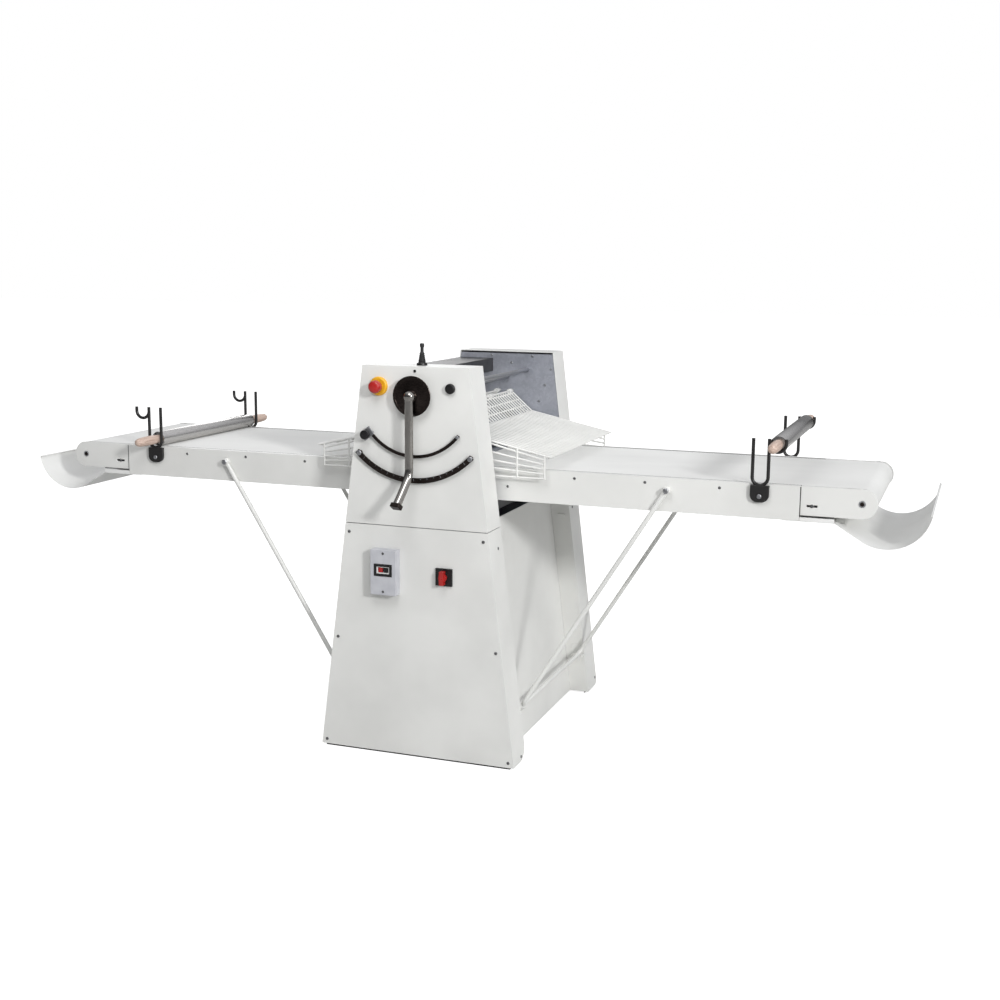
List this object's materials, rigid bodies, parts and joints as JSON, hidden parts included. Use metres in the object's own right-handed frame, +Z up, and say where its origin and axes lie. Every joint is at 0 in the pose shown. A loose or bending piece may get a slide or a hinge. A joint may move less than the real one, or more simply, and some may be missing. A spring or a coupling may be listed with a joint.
{
  "type": "dough sheeter",
  "caption": "Floor-standing reversible dough sheeter: trapezoid stand and head, sheeting rollers with a thickness lever, and folding belt tables with guards and catch pans.",
  "frame": {"origin": "on the floor, at the centre of the four anchor holes under the stand", "axes": "+X along the conveyor to the right seen from the lever side, +Y to the back, +Z up"},
  "size_m": [3.1, 1.106, 1.339],
  "materials": {
    "white_enamel": "satin",
    "galvanised": "spangled",
    "zinc_steel": "satin",
    "dark_steel": "polished",
    "chromed_roller": "polished",
    "roller_aluminium": "turned",
    "stainless": "brushed",
    "white_belt": "matt woven cover",
    "white_polymer": "satin",
    "black_enamel": "satin",
    "black_plastic": "satin",
    "grey_plastic": "satin",
    "red_plastic": "gloss",
    "yellow_plastic": "gloss",
    "black_rubber": "matt",
    "beech": "oiled",
    "screw_steel": "zinc plated"
  },
  "bodies": {
    "stand": {"front_stand_panel": "white_enamel", "rear_stand_panel": "white_enamel", "front_head_cover": "white_enamel", "rear_head_cover": "white_enamel", "front_side_plate": "galvanised", "rear_side_plate": "galvanised", "base_frame": "zinc_steel", "cross_panels": "white_enamel", "top_cover": "black_enamel", "tie_bars": "zinc_steel", "feet": "black_rubber", "panel_screws": "screw_steel", "bail_cradles": "white_enamel", "gearmotor": "zinc_steel", "drive_chain": "dark_steel", "breaker_box": "grey_plastic", "switch_plate": "black_plastic", "estop_collar": "yellow_plastic", "index_arcs": "dark_steel", "joystick_collar": "black_plastic", "crumb_tray": "black_enamel", "cable_gland": "black_plastic", "flange_bearings": "zinc_steel"},
    "lower_roller": {"lower_roller": "chromed_roller"},
    "upper_roller": {"upper_roller": "chromed_roller"},
    "sliders": {"bearing_sliders": "zinc_steel"},
    "lever": {"lever": "stainless", "dial": "dark_steel", "lift_shaft": "zinc_steel"},
    "stop": {"stop_knob": "black_plastic"},
    "estop": {"estop_button": "red_plastic"},
    "jog": {"jog_button": "black_plastic"},
    "breaker_stop": {"breaker_stop_button": "red_plastic"},
    "breaker_start": {"breaker_start_button": "black_plastic"},
    "switch": {"switch_knob": "red_plastic"},
    "joystick": {"joystick": "black_rubber"},
    "right_table": {"right_rails": "white_enamel", "right_bed": "zinc_steel", "right_belt": "white_belt", "right_end_brackets": "white_enamel", "right_catch_pan": "white_polymer", "right_pin_holders": "black_enamel"},
    "right_bail": {"right_bail": "white_enamel"},
    "right_guard": {"right_guard": "white_enamel"},
    "right_drive_roller": {"right_drive_roller": "roller_aluminium"},
    "right_end_roller": {"right_end_roller": "roller_aluminium"},
    "right_pin": {"right_pin_tube": "stainless", "right_pin_handles": "beech"},
    "left_table": {"left_rails": "white_enamel", "left_bed": "zinc_steel", "left_belt": "white_belt", "left_end_brackets": "white_enamel", "left_catch_pan": "white_polymer", "left_pin_holders": "black_enamel"},
    "left_bail": {"left_bail": "white_enamel"},
    "left_guard": {"left_guard": "white_enamel"},
    "left_drive_roller": {"left_drive_roller": "roller_aluminium"},
    "left_end_roller": {"left_end_roller": "roller_aluminium"},
    "left_pin": {"left_pin_tube": "stainless", "left_pin_handles": "beech"}
  },
  "joints": [
    {"name": "roller_spin", "type": "hinge", "parent": "stand", "child": "lower_roller", "pos_m": [0, 0, 0.902], "axis": [0, 1, 0], "continuous": true},
    {"name": "right_fold", "type": "hinge", "parent": "stand", "child": "right_table", "pos_m": [0.092, 0, 0.902], "axis": [0, -1, 0], "range_deg": [0, 55]},
    {"name": "right_bail_swing", "type": "hinge", "parent": "right_table", "child": "right_bail", "pos_m": [0.77, 0, 0.908], "axis": [0, -1, 0], "range_deg": [-23.42, 0]},
    {"name": "right_guard_lift", "type": "hinge", "parent": "stand", "child": "right_guard", "pos_m": [0.025, 0, 1.126], "axis": [0, -1, 0], "range_deg": [0, 58]},
    {"name": "right_drive_spin", "type": "hinge", "parent": "stand", "child": "right_drive_roller", "pos_m": [0.092, 0, 0.902], "axis": [0, 1, 0], "continuous": true},
    {"name": "right_end_spin", "type": "hinge", "parent": "right_table", "child": "right_end_roller", "pos_m": [1.35, 0, 0.902], "axis": [0, 1, 0], "continuous": true},
    {"name": "right_pin_lift", "type": "slide", "parent": "right_table", "child": "right_pin", "axis": [0, 0, 1], "range_m": [0, 0.15]},
    {"name": "left_fold", "type": "hinge", "parent": "stand", "child": "left_table", "pos_m": [-0.092, 0, 0.902], "axis": [0, 1, 0], "range_deg": [0, 55]},
    {"name": "left_bail_swing", "type": "hinge", "parent": "left_table", "child": "left_bail", "pos_m": [-0.77, 0, 0.908], "axis": [0, 1, 0], "range_deg": [-23.42, 0]},
    {"name": "left_guard_lift", "type": "hinge", "parent": "stand", "child": "left_guard", "pos_m": [-0.025, 0, 1.126], "axis": [0, 1, 0], "range_deg": [0, 58]},
    {"name": "left_drive_spin", "type": "hinge", "parent": "stand", "child": "left_drive_roller", "pos_m": [-0.092, 0, 0.902], "axis": [0, 1, 0], "continuous": true},
    {"name": "left_end_spin", "type": "hinge", "parent": "left_table", "child": "left_end_roller", "pos_m": [-1.35, 0, 0.902], "axis": [0, 1, 0], "continuous": true},
    {"name": "left_pin_lift", "type": "slide", "parent": "left_table", "child": "left_pin", "axis": [0, 0, 1], "range_m": [0, 0.15]},
    {"name": "lever_turn", "type": "hinge", "parent": "stand", "child": "lever", "pos_m": [0, 0, 1.18], "axis": [0, -1, 0], "range_deg": [-45, 45]},
    {"name": "slider_lift", "type": "slide", "parent": "stand", "child": "sliders", "axis": [0, 0, 1], "range_m": [-0.0178, 0.0178]},
    {"name": "upper_spin", "type": "hinge", "parent": "sliders", "child": "upper_roller", "pos_m": [0, 0, 1.006], "axis": [0, 1, 0], "continuous": true},
    {"name": "stop_turn", "type": "hinge", "parent": "stand", "child": "stop", "pos_m": [0, 0, 1.18], "axis": [0, -1, 0], "range_deg": [0, 103.4]},
    {"name": "estop_press", "type": "slide", "parent": "stand", "child": "estop", "axis": [0, 1, 0], "range_m": [0, 0.006], "stiffness_N_per_m": 1500},
    {"name": "jog_press", "type": "slide", "parent": "stand", "child": "jog", "axis": [0, 1, 0], "range_m": [0, 0.004], "stiffness_N_per_m": 1000},
    {"name": "breaker_stop_press", "type": "slide", "parent": "stand", "child": "breaker_stop", "axis": [0, 1, 0], "range_m": [0, 0.003], "stiffness_N_per_m": 800},
    {"name": "breaker_start_press", "type": "slide", "parent": "stand", "child": "breaker_start", "axis": [0, 1, 0], "range_m": [0, 0.003], "stiffness_N_per_m": 800},
    {"name": "switch_turn", "type": "hinge", "parent": "stand", "child": "switch", "pos_m": [0.1, -0.482, 0.611], "axis": [0, 1, 0], "range_deg": [0, 90]},
    {"name": "joystick_tilt", "type": "hinge", "parent": "stand", "child": "joystick", "pos_m": [0, -0.425, 1.278], "axis": [0, 1, 0], "range_deg": [-15, 15], "stiffness_Nm_per_rad": 0.5}
  ],
  "couplings": [
    {"joint": "right_bail_swing", "follows": "right_fold", "ratio": -0.4221},
    {"joint": "right_guard_lift", "follows": "right_fold", "ratio": 1.05},
    {"joint": "right_drive_spin", "follows": "roller_spin", "ratio": 1},
    {"joint": "right_end_spin", "follows": "roller_spin", "ratio": 1},
    {"joint": "left_bail_swing", "follows": "left_fold", "ratio": -0.4221},
    {"joint": "left_guard_lift", "follows": "left_fold", "ratio": 1.05},
    {"joint": "left_drive_spin", "follows": "roller_spin", "ratio": 1},
    {"joint": "left_end_spin", "follows": "roller_spin", "ratio": 1},
    {"joint": "slider_lift", "follows": "lever_turn", "m_per_rad": 0.0225},
    {"joint": "upper_spin", "follows": "roller_spin", "ratio": -1}
  ]
}
